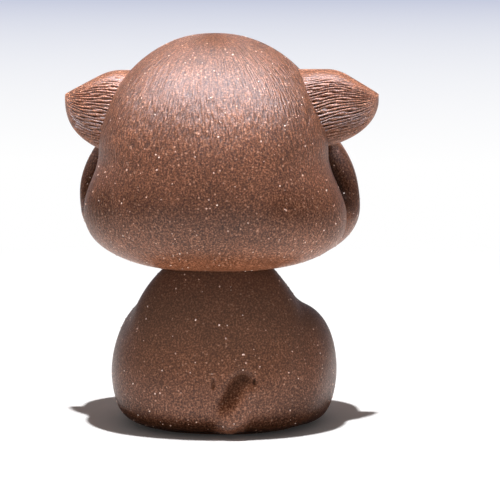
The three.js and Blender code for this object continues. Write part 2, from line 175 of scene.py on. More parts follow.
def fillRamp(node, stops):
    elements = node.color_ramp.elements
    while len(elements) > len(stops):
        elements.remove(elements[-1])
    while len(elements) < len(stops):
        elements.new(1.0)
    for element, (position, colour) in zip(elements, stops):
        element.position = position
        element.color = hexColour(colour)
    return node.outputs["Color"]


def newMaterial(name):
    material = bpy.data.materials.new(name)
    material.use_nodes = True
    tree = material.node_tree
    tree.nodes.clear()
    inMm = addNode(tree, "VectorMath", {"operation": "SCALE"}, Scale=1 / mm,
        _0=addNode(tree, "TexCoord").outputs["Object"])
    return material, tree, inMm


stoneware = {
    "pit": "3e2216", "deep": "593522", "middle": "6b412d", "light": "91644c", "sand": "bc9078",
    "patchSize": 9.0, "patchShade": 0.16, "grainSize": 0.34, "sandCell": 0.8, "sandShare": 0.30,
    "combSpacing": 0.46, "combLength": 2.0, "strokeLevel": 0.42, "strokeContrast": 0.85,
    "combRelief": 0.095, "grainRelief": 0.030, "sandRelief": 0.02,
    # painted shade: how dark the creases get, and the grey-brown the upper body is mixed towards, with its
    # share and heights
    "creaseShade": 0.24, "fullCrease": 0.7, "paintedLeeShade": "6d584c", "paintedLeeShadeShare": 0.45,
    "paintedLeeShadeFrom": 5, "paintedLeeShadeTo": 27, "paintedLeeShadeBelow": 40, "roughest": 0.44, "smoothest": 0.30, "ior": 1.42,
    "gloss": 0.5, "creaseGloss": 0.04, "ridgeGloss": 0.5, "leeGloss": 0.25,
}


# Red zisha-type stoneware, unglazed, combed while leather-hard and rubbed before firing: a satin, faintly
# waxy skin over coarse clay, so it is grainy all over and has a wide soft highlight broken by the strokes.
def makeStoneware(values):
    material, tree, inMm = newMaterial("red_stoneware_rubbed")

    # the clay's own grain is finer than this, and is drawn as coarse as it needs to show
    grain = addNode(tree, "TexNoise", Vector=inMm, Scale=1 / values["grainSize"], Detail=1.5,
        Roughness=0.6)
    stops = [(0.33, values["pit"]), (0.45, values["deep"]), (0.55, values["middle"]),
        (0.68, values["light"])]
    clay = fillRamp(addNode(tree, "ValToRGB", Fac=grain), stops)
    patches = addNode(tree, "TexNoise", Vector=inMm, Scale=1 / values["patchSize"], Detail=4.0,
        Roughness=0.55)
    patchShade = addNode(tree, "MapRange", Value=patches, _1=0.3, _2=0.7, _3=1 - values["patchShade"],
        _4=1 + values["patchShade"])
    patchy = addNode(tree, "Mix", multiplyColours, _0=1.0, _6=clay, _7=patchShade).outputs[2]

    # fine sand: one grain in some of the cells, so that it lies loose and uneven
    cells = addNode(tree, "TexVoronoi", {"feature": "F1"}, Vector=inMm, Scale=1 / values["sandCell"])
    near = addNode(tree, "MapRange", Value=cells.outputs["Distance"], _1=0.30, _2=0.16)
    pick = addNode(tree, "SeparateColor", Color=cells.outputs["Color"])
    chosen = addNode(tree, "Math", {"operation": "LESS_THAN"}, _0=pick.outputs[0], _1=values["sandShare"])
    paler = addNode(tree, "MapRange", Value=pick.outputs[1], _3=0.15, _4=0.8)
    nearChosen = addNode(tree, "Math", times, _0=near, _1=chosen)
    sandMask = addNode(tree, "Math", times, _0=nearChosen, _1=paler)
    sanded = addNode(tree, "Mix", mixColours, _0=sandMask, _6=patchy,
        _7=hexColour(values["sand"])).outputs[2]

    # comb: strokes along the fur, from the piece's own attribute (across, along, strength)
    comb = addNode(tree, "Attribute", {"attribute_name": "comb"})
    parts = addNode(tree, "SeparateXYZ", Vector=comb.outputs["Vector"])
    across = addNode(tree, "Math", {"operation": "DIVIDE"}, _0=parts.outputs[0], _1=values["combSpacing"])
    along = addNode(tree, "Math", {"operation": "DIVIDE"}, _0=parts.outputs[1], _1=values["combLength"])
    strokeAt = addNode(tree, "CombineXYZ", X=across, Y=along)
    strokes = addNode(tree, "TexNoise", Vector=strokeAt, Scale=1.0, Detail=1.0)
    strokeRise = addNode(tree, "MapRange", Value=strokes, _1=0.32, _2=0.68)
    combed = addNode(tree, "Math", times, _0=strokeRise, _1=parts.outputs[2])
    # painted light on the strokes' ridges and painted shade in their bottoms
    centred = addNode(tree, "Math", {"operation": "SUBTRACT"}, _0=strokeRise, _1=values["strokeLevel"])
    uneven = addNode(tree, "Math", times, _0=centred, _1=parts.outputs[2])
    strokeShade = addNode(tree, "Math", timesPlus, _0=uneven, _1=values["strokeContrast"], _2=1.0)
    shaded = addNode(tree, "Mix", multiplyColours, _0=1.0, _6=sanded, _7=strokeShade).outputs[2]
    # painted shade darkens the colour where the crease attribute is above nought, and painted light lightens
    # it where it is below
    crease = addNode(tree, "Attribute", {"attribute_name": "crease"}).outputs["Fac"]
    creaseShade = addNode(tree, "Math", timesPlus, _0=crease, _1=values["creaseShade"] - 1, _2=1.0)
    shaded = addNode(tree, "Mix", multiplyColours, _0=1.0, _6=shaded, _7=creaseShade).outputs[2]

    # painted shade: the upper body, in the head's lee, is mixed towards a grey-brown, more the higher it
    # lies, and has less gloss
    dull = addNode(tree, "Attribute", {"attribute_name": "dull"}).outputs["Fac"]
    paintedLeeShade = addNode(tree, "Math", times, _0=dull, _1=values["paintedLeeShadeShare"])
    shaded = addNode(tree, "Mix", mixColours, _0=paintedLeeShade, _6=shaded, _7=hexColour(values["paintedLeeShade"])).outputs[2]

    # heights in millimetres, one after another
    grainRise = addNode(tree, "Math", times, _0=grain, _1=values["grainRelief"])
    sandRise = addNode(tree, "Math", timesPlus, _0=nearChosen, _1=values["sandRelief"], _2=grainRise)
    height = addNode(tree, "Math", timesPlus, _0=combed, _1=values["combRelief"], _2=sandRise)
    bump = addNode(tree, "Bump", Strength=1.0, Distance=mm, Height=height)

    rough = addNode(tree, "MapRange", Value=grain, _1=0.3, _2=0.7, _3=values["roughest"],
        _4=values["smoothest"])
    # what lies in the creases isn't rubbed and has next to no gloss, and the ears' ridges have the most
    gloss = addNode(tree, "MapRange", Value=crease, _2=values["fullCrease"], _3=values["gloss"],
        _4=values["creaseGloss"])
    polish = addNode(tree, "MapRange", Value=crease, _1=0.0, _2=-1.0, _4=values["ridgeGloss"])
    gloss = addNode(tree, "Math", {"operation": "ADD"}, _0=gloss, _1=polish)
    lee = addNode(tree, "MapRange", Value=dull, _3=1.0, _4=values["leeGloss"])
    gloss = addNode(tree, "Math", times, _0=gloss, _1=lee)
    shader = addNode(tree, "BsdfPrincipled", Base_Color=shaded, Roughness=rough, Normal=bump,
        IOR=values["ior"], Specular_IOR_Level=gloss)
    addNode(tree, "OutputMaterial", Surface=shader)
    return material


# Quartz sand that was kneaded into the clay: pale, dull, slightly pink grains that the rubbing bared.
quartz = {"pale": "ecd3c4", "tan": "b98e78", "cellSize": 0.9, "roughness": 0.5, "ior": 1.54}


def makeQuartz(values):
    material, tree, inMm = newMaterial("quartz_sand")
    # each cell is wider than a grain, so that a grain has one colour
    cells = addNode(tree, "TexVoronoi", {"feature": "F1"}, Vector=inMm, Scale=1 / values["cellSize"])
    pick = addNode(tree, "SeparateColor", Color=cells.outputs["Color"])
    stops = [(0.25, values["tan"]), (0.95, values["pale"])]
    colour = fillRamp(addNode(tree, "ValToRGB", Fac=pick), stops)
    shader = addNode(tree, "BsdfPrincipled", Base_Color=colour, Roughness=values["roughness"],
        IOR=values["ior"])
    addNode(tree, "OutputMaterial", Surface=shader)
    return material


darkClay = {
    "colour": "1d1512", "fleck": "3a2c26", "fleckSize": 0.8, "fleckRelief": 0.03,
    "roughness": 0.16, "duller": 0.12, "ior": 1.52,
}


# Black clay balls burnished with a stone until they shine: nearly black, with a small sharp highlight.
def makeDarkClay(values):
    material, tree, inMm = newMaterial("black_clay_burnished")
    flecks = addNode(tree, "TexNoise", Vector=inMm, Scale=1 / values["fleckSize"], Detail=5.0)
    stops = [(0.4, values["colour"]), (0.8, values["fleck"])]
    colour = fillRamp(addNode(tree, "ValToRGB", Fac=flecks), stops)
    bump = addNode(tree, "Bump", Strength=0.25, Distance=values["fleckRelief"] * mm, Height=flecks)
    rough = addNode(tree, "MapRange", Value=flecks, _3=values["roughness"],
        _4=values["roughness"] + values["duller"])
    shader = addNode(tree, "BsdfPrincipled", Base_Color=colour, Roughness=rough, Normal=bump,
        IOR=values["ior"])
    addNode(tree, "OutputMaterial", Surface=shader)
    return material


# each clay is its material and a second name for it
redClay = (makeStoneware(stoneware), "red_stoneware")
blackClay = (makeDarkClay(darkClay), "dark_stoneware")
quartzLook = makeQuartz(quartz)
print("materials made")

# making a piece from points and faces


def makePiece(name, points, faces, clay, nodes, comb, sharpAngle=40, crease=None):
    look, slotName = clay
    mesh = bpy.data.meshes.new(name)
    mesh.from_pydata((points * mm).tolist(), [], faces)
    mesh.update()
    mesh.materials.append(look)
    mesh.polygons.foreach_set("use_smooth", [True] * len(mesh.polygons))
    written = {"comb": comb, "crease": crease}
    # the low pieces carry the dull attribute, which holds the painted shade of the head's lee and their
    # lower gloss
    if points[:, 2].max() < stoneware["paintedLeeShadeBelow"]:
        written["dull"] = smoothStep(stoneware["paintedLeeShadeFrom"], stoneware["paintedLeeShadeTo"], points[:, 2])
    for word, values in written.items():
        if values is not None:
            kind, field = ("FLOAT_VECTOR", "vector") if values.ndim > 1 else ("FLOAT", "value")
            layer = mesh.attributes.new(word, kind, "POINT")
            layer.data.foreach_set(field, values.astype(np.float32).ravel())
    mesh.set_sharp_from_angle(angle=math.radians(sharpAngle))
    thing = bpy.data.objects.new(name, mesh)
    bpy.context.collection.objects.link(thing)
    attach(thing, "root")
    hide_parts(*nodes)
    return thing


# Closed surface of a form given as a distance: negative inside. Each cell that the surface crosses gets
# one point, and the points are then drawn onto the surface itself.
def formSurface(field, low, high, step):
    axes = [np.arange(lo - 1.5 * step, hi + 2.5 * step, step) for lo, hi in zip(low, high)]
    values = np.empty([len(a) for a in axes])
    for start in range(0, len(values), 8):
        block = values[start:start + 8]
        grid = np.meshgrid(axes[0][start:start + 8], axes[1], axes[2], indexing="ij")
        block[:] = field(np.stack(grid, -1).reshape(-1, 3)).reshape(block.shape)
    inside = values < 0
    corners = [(i, j, k) for i in (0, 1) for j in (0, 1) for k in (0, 1)]

    def corner(array, c):
        return array[tuple(slice(o, n - 1 + o) for o, n in zip(c, array.shape))]

    count = sum(corner(inside, c).astype(np.int8) for c in corners)
    active = (count > 0) & (count < 8)
    cells = np.argwhere(active)
    sums = np.zeros((len(cells), 3))
    hits = np.zeros(len(cells))
    for axis in range(3):
        for c in corners:
            if c[axis]:
                continue
            d = tuple(c[a] + (a == axis) for a in range(3))
            a = values[tuple((cells + c).T)]
            b = values[tuple((cells + d).T)]
            cross = (a < 0) != (b < 0)
            t = np.where(cross, a / np.where(cross, a - b, 1), 0)
            spot = np.tile(np.array(c, float), (len(cells), 1))
            spot[:, axis] += t
            sums[cross] += spot[cross]
            hits[cross] += 1
    origin = np.array([a[0] for a in axes])
    points = origin + (cells + sums / hits[:, None]) * step
    index = np.full(active.shape, -1)
    index[active] = np.arange(len(cells))
    quads = []
    for axis in range(3):
        u, v = (axis + 1) % 3, (axis + 2) % 3
        a = inside[tuple(slice(0, -1) if i == axis else slice(None) for i in range(3))]
        b = inside[tuple(slice(1, None) if i == axis else slice(None) for i in range(3))]
        edges = np.argwhere(a != b)
        ok = (edges[:, u] > 0) & (edges[:, v] > 0)
        ok &= (edges[:, u] < index.shape[u]) & (edges[:, v] < index.shape[v])
        edges = edges[ok]
        outwards = a[tuple(edges.T)]
        around = []
        for du, dv in ((1, 1), (0, 1), (0, 0), (1, 0)):
            cell = edges.copy()
            cell[:, u] -= du
            cell[:, v] -= dv
            around.append(index[tuple(cell.T)])
        quad = np.stack(around, 1)
        quad[~outwards] = quad[~outwards][:, ::-1]
        quads.append(quad)
    quads = np.concatenate(quads)
    for _ in range(2):
        points = drawOnto(points, field, step)
    return points, quads[(quads >= 0).all(1)].tolist()


def slopeOf(points, field, reach):
    slope = np.zeros_like(points)
    for axis in range(3):
        nudge = np.zeros(3)
        nudge[axis] = reach
        slope[:, axis] = (field(points + nudge) - field(points - nudge)) / (2 * reach)
    return slope


def drawOnto(points, field, step):
    slope = slopeOf(points, field, step * 0.1)
    size = np.maximum((slope ** 2).sum(1), 0.2)
    move = slope * (field(points) / size)[:, None]
    length = np.linalg.norm(move, axis=1)
    cap = np.minimum(1, 0.5 * step / np.maximum(length, 1e-9))
    return points - move * cap[:, None]


# Rings of points joined into one closed skin, with a hub at both ends.
def ringSkin(rings):
    rings = np.asarray(rings)
    count, sides = rings.shape[:2]
    points = rings.reshape(-1, 3)
    r, s = np.meshgrid(np.arange(count - 1), np.arange(sides), indexing="ij")
    a = (r * sides + s).ravel()
    b = (r * sides + (s + 1) % sides).ravel()
    quads = np.stack([a, b, b + sides, a + sides], 1).tolist()
    hubs = [rings[0].mean(0), rings[-1].mean(0)]
    first = len(points)
    last = (count - 1) * sides
    caps = [[first, (s + 1) % sides, s] for s in range(sides)]
    caps += [[first + 1, last + s, last + (s + 1) % sides] for s in range(sides)]
    return np.concatenate([points, hubs]), quads + caps


# head: two pressed shells that meet at an upright seam, with the cheek ruff in front of it

head = {
    "top": 80.0, "bottom": 32.1, "shift": 0.8, "jawShift": 0.2, "rear": 24.0, "front": 22.0,
    "waist": 50.0, "seam": 3.0,
    "skullHalf": 23.2, "domeRise": 24.0, "napeHalf": 26.6, "nape": 44.0,
    "cheekHalf": 28.9, "cheek": 46.0, "cheekRise": 22.0, "cheekSetback": 10.0,
    "creaseDepth": 2.2, "channelDepth": 3.4, "creaseFrom": 42.5, "rimRound": 0.55,
    "skullPower": 2.1, "facePower": 2.5,
    "levels": 210, "steps": 96, "ripple": 0.10,
    # combing: its strength is 0.4, and more by a share from one height to another
    "combRadius": 21, "combBack": (0.6, 50, 64), "combFace": (0.3, 56, 66),
    # painted shade: strengths on the left and the right, and how far from the middle each comes in
    "channelStain": 1.25, "hollowZ": 47.5, "hollowReach": 4.6,
    "hollowStain": (0.22, 0.40), "hollowFrom": (9, 15), "edgeStain": (0.32, 0.0), "edgeFrom": (18.5, 21.5),
    "ruffStain": (0.5, 0.35), "ruffFrom": (18, 21), "ruffFade": (-18, -10),
}
domeZ = head["top"] - head["domeRise"]


def skullHalfAt(z):
    up = head["skullHalf"] * arch(np.clip((z - domeZ) / head["domeRise"], 0, 1), 2)
    flare = smoothStep(head["nape"], domeZ, z)
    side = head["napeHalf"] + (head["skullHalf"] - head["napeHalf"]) * flare
    fall = np.clip((head["nape"] - z) / (head["nape"] - head["bottom"]), 0, 1)
    under = head["napeHalf"] * arch(fall, 2.5)
    return np.where(z >= domeZ, up, np.where(z >= head["nape"], side, under))


def depthAt(z, depth, upPower):
    up = arch(np.clip((z - head["waist"]) / (head["top"] - head["waist"]), 0, 1), upPower)
    down = arch(np.clip((head["waist"] - z) / (head["waist"] - head["bottom"]), 0, 1), 2.4)
    return depth * np.where(z >= head["waist"], up, down)


def cheekHalfAt(z):
    up = arch(np.clip((z - head["cheek"]) / head["cheekRise"], 0, 1), 2)
    down = arch(np.clip((head["cheek"] - z) / (head["cheek"] - head["bottom"]), 0, 1), 2.4)
    return head["cheekHalf"] * np.where(z >= head["cheek"], up, down)


def creaseAt(z):
    fade = 1 - smoothStep(domeZ + 4, domeZ + 12, z)
    return float(smoothStep(head["creaseFrom"], head["creaseFrom"] + 6, z) * fade)


def headHeights():
    angle = (np.linspace(0, 1, head["levels"]) * 2 - 1) * math.pi / 2 * 0.994
    reach = np.where(angle < 0, head["waist"] - head["bottom"], head["top"] - head["waist"])
    return head["waist"] + reach * np.sin(angle)


def middleAt(z):
    # the jaw sits a little to the kitten's right of the crown
    return head["jawShift"] + (head["shift"] - head["jawShift"]) * float(smoothStep(36, 50, z))


def mirrored(half):
    # half an outline, from the seam to the middle, becomes a whole one
    other = half[:-1][::-1].copy()
    other[:, 0] *= -1
    return np.concatenate([half, other])


def shellRings(outlineAt, towards):
    rings = []
    for z in headHeights():
        ring = mirrored(outlineAt(z))
        ring = np.column_stack([middleAt(z) + ring[:, 0], head["seam"] + ring[:, 1], np.full(len(ring), z)])
        rings.append(ring if towards > 0 else ring[::-1])
    return rings


def skullOutline(z):
    width = max(float(skullHalfAt(z)), 0.02)
    depth = max(float(depthAt(z, head["rear"] - head["seam"], 2)), 0.02)
    angle = np.linspace(0, 1, head["steps"]) ** 1.35 * math.pi / 2
    x = width * np.cos(angle) ** (2 / head["skullPower"])
    y = depth * np.sin(angle) ** (2 / head["skullPower"])
    rim = head["rimRound"] * creaseAt(z)
    if rim > 0.01:
        near = np.clip(rim - y, 0, rim)
        x = x - (rim - np.sqrt(np.maximum(rim ** 2 - near ** 2, 0)))
    x[-1] = 0
    return np.column_stack([x, y])


def faceOutlineParts(z):
    seamHalf = max(float(skullHalfAt(z)) - head["creaseDepth"] * creaseAt(z), 0.0)
    cheek = float(cheekHalfAt(z))
    blend = 0.025 * (cheek + seamHalf)
    crest = max((cheek + seamHalf + math.hypot(cheek - seamHalf, blend)) / 2, 0.02)
    depth = max(float(depthAt(z, head["front"] + head["seam"], 2.3)), 0.02)
    crestBack = head["cheekSetback"] * depth / (head["front"] + head["seam"])
    share = min(0.9999, seamHalf / crest)
    reach = crestBack / (1 - share ** head["facePower"]) ** (1 / head["facePower"])
    return crest, depth, crestBack, reach


def faceOutline(z):
    crest, depth, crestBack, reach = faceOutlineParts(z)
    power = head["facePower"]
    behind = crestBack * (1 - np.linspace(0, 1, head["steps"] * 2 // 3, endpoint=False))
    # a channel is pressed in behind the ruff, deepest under the ear
    channel = head["channelDepth"] * creaseAt(z) * smoothStep(0.06, 0.66, behind / crestBack)
    back = np.column_stack([crest * arch(behind / reach, power) - channel, behind - crestBack])
    angle = np.linspace(0, 1, head["steps"]) * math.pi / 2
    x = crest * np.cos(angle) ** (2 / power)
    y = crestBack + (depth - crestBack) * np.sin(angle) ** (2 / power)
    x[-1] = 0
    return np.concatenate([back, np.column_stack([x, -y])])


def faceY(x, z):
    crest, depth, crestBack, _ = faceOutlineParts(z)
    return head["seam"] - crestBack - (depth - crestBack) * float(arch(x / crest, head["facePower"]))


def faceNormal(x, z):
    step = 0.2
    slopeX = (faceY(x + step, z) - faceY(x - step, z)) / (2 * step)
    slopeZ = (faceY(x, z + step) - faceY(x, z - step)) / (2 * step)
    return Vector((slopeX, -1, slopeZ)).normalized()


def combAround(points, strength):
    # fur is combed down from the crown: across is measured round the head, along is measured down it
    x = points[:, 0] - head["shift"]
    y = points[:, 1] - head["seam"]
    across = np.arctan2(x, y) * head["combRadius"] + handRipple(points, 14, 0.5, 5)
    return np.column_stack([across, points[:, 2], strength])


def swell(points, centre, height, wavelength, seed):
    # moves points out from a centre by the hand's unevenness
    ray = points - np.array(centre)
    ray /= np.maximum(np.linalg.norm(ray, axis=1), 1e-6)[:, None]
    return points + ray * (handRipple(points, wavelength, height, seed) - height)[:, None]


def makeHeadShell(name, node, outlineAt, towards, combed, creaseAround):
    points, faces = ringSkin(shellRings(outlineAt, towards))
    more, low, high = combed
    strength = 0.4 + more * smoothStep(low, high, points[:, 2])
    crease = creaseAround(points)
    points = swell(points, (head["shift"], 0, 55), head["ripple"], 17, 3)
    makePiece(name, points, faces, redClay, [node], combAround(points, strength), 50, crease)


def hollowStain(p, word):
    # painted shade in the hollow under the ears, darker on one side than on the other
    level = np.exp(-((p[:, 2] - head["hollowZ"]) / head["hollowReach"]) ** 2)
    paintedShading = np.where(p[:, 0] > 0, *head[word + "Stain"])
    return paintedShading * level * smoothStep(*head[word + "From"], np.abs(p[:, 0]))


# painted shade under the ears and along the skull's edge
def skullCrease(p):
    return hollowStain(p, "hollow") + hollowStain(p, "edge")


def channelCrease(p):
    # painted shade in the channel behind the ruff, from the seam to the ruff's crest, and on the ruff
    levels = np.linspace(p[:, 2].min() + 0.1, p[:, 2].max() - 0.1, 60)
    depth = np.interp(p[:, 2], levels, [creaseAt(z) for z in levels])
    crest = np.interp(p[:, 2], levels, [faceOutlineParts(z)[2] for z in levels])
    y = p[:, 1] - head["seam"]
    ruff = hollowStain(p, "ruff") * smoothStep(*head["ruffFade"], y)
    return depth * smoothStep(0.1, 0.8, 1 + y / crest) * head["channelStain"] + ruff


makeHeadShell("head_back", "head_back_shell", skullOutline, 1, head["combBack"], skullCrease)
makeHeadShell("face", "face_shell", faceOutline, -1, head["combFace"], channelCrease)
print("head shells made")

# ears: folded leaves, rounded behind and hollow in front, with combed lines from root to tip

ear = {
    "span": 64.2, "rootX": 14.0, "plane": -1.5, "bulge": 11.5, "sweep": 2.0, "wall": 2.2,
    "tipZ": {"left": 66.3, "right": 66.7}, "rise": 5.9, "corner": {"left": 0.47, "right": 0.54},
    "tipBlunt": 0.16, "rootRadius": 8.5, "length": 18,
    "drop": {"left": 12.0, "right": 10.6}, "lowerPower": {"left": 2.3, "right": 2.15},
    "lineSpacing": 0.8, "lineDepth": 0.6, "lineSlant": {"left": 1.5, "right": 4.0},
    # painted light over each ear and painted shade in its lines' bottoms, per side
    "paintedEarLight": {"left": 1.28, "right": 1.06}, "edgePaintedEarLight": 0.5, "linePaintedShade": {"left": 1.36, "right": 1.78},
    "rings": 130, "arc": 260, "innerArc": 60,
}


def makeEar(word, side):
    turn = np.linspace(0, math.pi, ear["arc"])
    turnInside = np.linspace(math.pi, 0, ear["innerArc"])
    rootWay = math.pi * ear["rootRadius"]
    rings, comb, crease = [], [], []
    for i in range(ear["rings"]):
        s = math.sin(i / (ear["rings"] - 1) * math.pi / 2) * 0.998
        x = ear["rootX"] + (ear["span"] / 2 - ear["rootX"]) * s
        # the upper edge is level as far as a blunt corner and then runs straight down to the tip
        slope = (1 - s) / (1 - ear["corner"][word]) * (1 - ear["tipBlunt"]) + ear["tipBlunt"]
        above = ear["rise"] * float(smoothMin(1.0, slope, 0.22) * arch(s, 14))
        below = ear["drop"][word] * float(arch(s, ear["lowerPower"][word]))
        middle, half = ear["tipZ"][word] + (above - below) / 2, (above + below) / 2
        thick = min(ear["wall"], half * 0.45)
        bulge = max(thick * 1.1, ear["bulge"] * float(arch(s, 1.7)))
        rimY = ear["plane"] - ear["sweep"] * s
        # lines run from root to tip, drawing together and wavering as they go
        way = math.pi * math.hypot(half, bulge) / math.sqrt(2)
        lane = (turn / math.pi - 0.5) * (0.6 * way + 0.4 * rootWay) / ear["lineSpacing"]
        lane = lane + ear["lineSlant"][word] * s * smoothStep(0.05, 0.5, turn / math.pi)
        waver = 0.30 * np.sin(s * 17 + lane * 1.3) + 0.20 * np.sin(s * 31 + lane * 2.9 + side)
        line = 0.5 - 0.5 * np.cos(2 * math.pi * (lane + waver * 0.5))
        uneven = 0.75 + 0.25 * np.sin(s * 23 + lane * 4.1 + 2 * side)
        fade = smoothStep(0.06, 0.34, turn / math.pi) * (1 - smoothStep(0.84, 0.97, turn / math.pi))
        cut = ear["lineDepth"] * (1 - line) ** 1.5 * uneven * fade * (1 - smoothStep(0.80, 0.98, s))
        cut = cut * smoothStep(0.12, 0.3, s)

        def bow(inset, at, shave):
            z = middle + (half - inset - shave) * np.cos(at)
            y = rimY + (bulge - inset - shave) * np.sin(at)
            return np.column_stack([np.full(len(at), side * x), y, z])

        outer = bow(0, turn, cut)
        inner = bow(thick, turnInside, 0)
        # the rim between back and hollow is rolled over
        roll = np.linspace(0, math.pi, 14)[1:-1, None]

        def rolled(start, end):
            centre, reach = (start + end) / 2, (start - end) / 2
            forward = np.array([0, -np.linalg.norm(reach) * 0.8, 0])
            return centre + np.cos(roll) * reach + np.sin(roll) * forward

        ring = np.concatenate([outer, rolled(outer[-1], inner[0]), inner, rolled(inner[-1], outer[0])])
        plain = np.zeros(len(ring) - len(turn))
        across = np.concatenate([lane * ear["lineSpacing"], plain])
        strength = np.concatenate([fade * 0.5, plain])
        # painted shade darkens the lines' bottoms, and painted light brightens the ridges between them and
        # the ear as a whole
        paintedEarLight = ear["paintedEarLight"][word] * (ear["edgePaintedEarLight"] + (1 - ear["edgePaintedEarLight"]) * fade)
        paintedShading = cut / ear["lineDepth"] * ear["linePaintedShade"][word] - paintedEarLight
        rings.append(ring[::-side])
        comb.append(np.column_stack([across, np.full(len(ring), s * ear["length"]), strength])[::-side])
        crease.append(np.concatenate([paintedShading, plain])[::-side])
    points, faces = ringSkin(rings)
    # the hubs at both ends have neither lines nor painted shading
    crease = np.concatenate([*crease, np.zeros(2)])
    comb = np.concatenate([*comb, np.zeros((2, 3))])
    points = points + np.array([0, 1, 0]) * handRipple(points, 9, 0.12, 11 + side)[:, None]
    makePiece(f"leaf_ear_{word}", points, faces, redClay, [f"ear_{word}"], comb, 60, crease)


sides = (("left", 1), ("right", -1))
for word, side in sides:
    makeEar(word, side)
print("ears made")

# body: the two shells, the haunches and the tail as the slip and the sponge leave them, in one skin

body = {
    "bellyZ": 10.0, "bellyHalf": 20.6, "rear": 18.0, "front": 14.0, "rise": 28.0, "drop": 13.0, "power": 2.2,
    "haunchX": 14.5, "haunchShift": -0.7, "haunchY": -3.0, "haunchZ": 10.8, "haunchHalf": (8.6, 14.0, 14.0),
    # painted shade round the foot reaches up to these heights, higher at the sides
    "haunchBlend": 2.4, "footRound": 4.0, "footPaintedShade": 6.0, "sidePaintedShade": 3.2, "step": 0.28, "ripple": 0.12,
    "combRadius": 18, "combStrength": 0.12,
}
tail = {
    "rootX": -3.4, "lean": 3.2, "tipZ": 12.2, "footZ": 2.2, "radius": 2.8, "tipRadius": 2.4, "proud": -1.7,
    "blend": 1.0, "grooveDepth": 0.85, "grooveWidth": 1.1, "grooveFrom": 4.0,
    "nickX": (-0.5, -8.5), "nickZ": (10.8, 12.2), "nickRadius": 0.32,
}


def torsoForm(p):
    dx = np.abs(p[:, 0]) / body["bellyHalf"]
    y = p[:, 1] - head["seam"]
    dy = np.where(y > 0, y / (body["rear"] - head["seam"]), -y / (body["front"] + head["seam"]))
    level = (dx ** body["power"] + dy ** body["power"]) ** (1 / body["power"])
    z = p[:, 2] - body["bellyZ"]
    up = (level ** 1.8 + (np.maximum(z, 0) / body["rise"]) ** 1.8) ** (1 / 1.8)
    down = (level ** 3 + (np.maximum(-z, 0) / body["drop"]) ** 3) ** (1 / 3)
    size = np.where(z >= 0, up, down)
    far = np.sqrt(p[:, 0] ** 2 + y ** 2 + z ** 2)
    return far * (1 - 1 / np.maximum(size, 0.05))


def ballForm(p, centre, half):
    ray = p - np.array(centre)
    size = np.linalg.norm(ray / np.array(half), axis=1)
    return np.linalg.norm(ray, axis=1) * (1 - 1 / np.maximum(size, 0.05))


def haunchForm(p, side):
    return ballForm(p, (body["haunchShift"] + side * body["haunchX"], body["haunchY"], body["haunchZ"]),
                    body["haunchHalf"])


def rollForm(p, path, radii):
    # a hand-rolled coil: the nearest of its short straight stretches
    best = np.full(len(p), 1e9)
    for a, b, ra, rb in zip(path[:-1], path[1:], radii[:-1], radii[1:]):
        line = b - a
        t = np.clip((p - a) @ line / (line @ line), 0, 1)
        away = np.linalg.norm(p - a - t[:, None] * line, axis=1)
        best = np.minimum(best, away - (ra + (rb - ra) * t))
    return best


def bodyRearAt(x, z):
    level = np.where(z >= body["bellyZ"], arch((z - body["bellyZ"]) / body["rise"], 1.8),
                     arch((body["bellyZ"] - z) / body["drop"], 3))
    depth = (body["rear"] - head["seam"]) * level
    return head["seam"] + depth * arch(x / (body["bellyHalf"] * level), body["power"])


def tailPath():
    share = np.linspace(0, 1, 9)
    x = tail["rootX"] - tail["lean"] * share
    z = tail["footZ"] + (tail["tipZ"] - tail["tipRadius"] - tail["footZ"]) * share
    return np.column_stack([x, bodyRearAt(x, z) + tail["proud"], z])


tailLine = tailPath()
tailRadii = np.linspace(tail["radius"], tail["tipRadius"], len(tailLine))
nicks = [np.array([(x, bodyRearAt(x, z), z) for z in tail["nickZ"]]) for x in tail["nickX"]]


def thumbGroove(p):
    # the thumb that pressed the tail on left a soft groove on one side of it and over its tip
    axisX = np.interp(p[:, 2], tailLine[:, 2], tailLine[:, 0])
    aside = p[:, 0] - axisX
    overTip = smoothStep(10, 12, p[:, 2]) * smoothStep(-2.4, 0.2, aside)
    beside = np.maximum(smoothStep(-1.0, 1.5, aside), overTip)
    return beside * smoothStep(tail["grooveFrom"], tail["grooveFrom"] + 4, p[:, 2]) * (p[:, 1] > 0)


def bodyForm(p):
    form = torsoForm(p)
    for side in (1, -1):
        form = smoothMin(form, haunchForm(p, side), body["haunchBlend"])
    roll = rollForm(p, tailLine, tailRadii)
    form = form + tail["grooveDepth"] * thumbGroove(p) * np.exp(-((roll - 0.6) / tail["grooveWidth"]) ** 2)
    form = smoothMin(form, roll, tail["blend"])
    # and a tool nicked the clay on both sides of the tip
    for nick in nicks:
        form = smoothMax(form, -rollForm(p, nick, (tail["nickRadius"],) * 2), 0.2)
    form = form + handRipple(p, 15, body["ripple"], 21)
    return smoothMax(form, -p[:, 2], body["footRound"])


def bodyCrease(p):
    # painted shade round the foot, except on the tail's end, in the thumb's groove beside the tail and in
    # the nicks
    roll = rollForm(p, tailLine, tailRadii)
    foot = 1 - smoothStep(2.0, body["footPaintedShade"] + body["sidePaintedShade"] * (p[:, 0] / 20) ** 2, p[:, 2])
    foot = foot * smoothStep(-0.2, 1.2, roll)
    groove = thumbGroove(p) * np.exp(-((roll - 0.5) / (tail["grooveWidth"] * 1.2)) ** 2)
    for nick in nicks:
        groove = np.maximum(groove, 1 - smoothStep(0.15, 0.45, rollForm(p, nick, (0, 0))))
    return np.maximum(foot * 0.9, groove * 0.85)


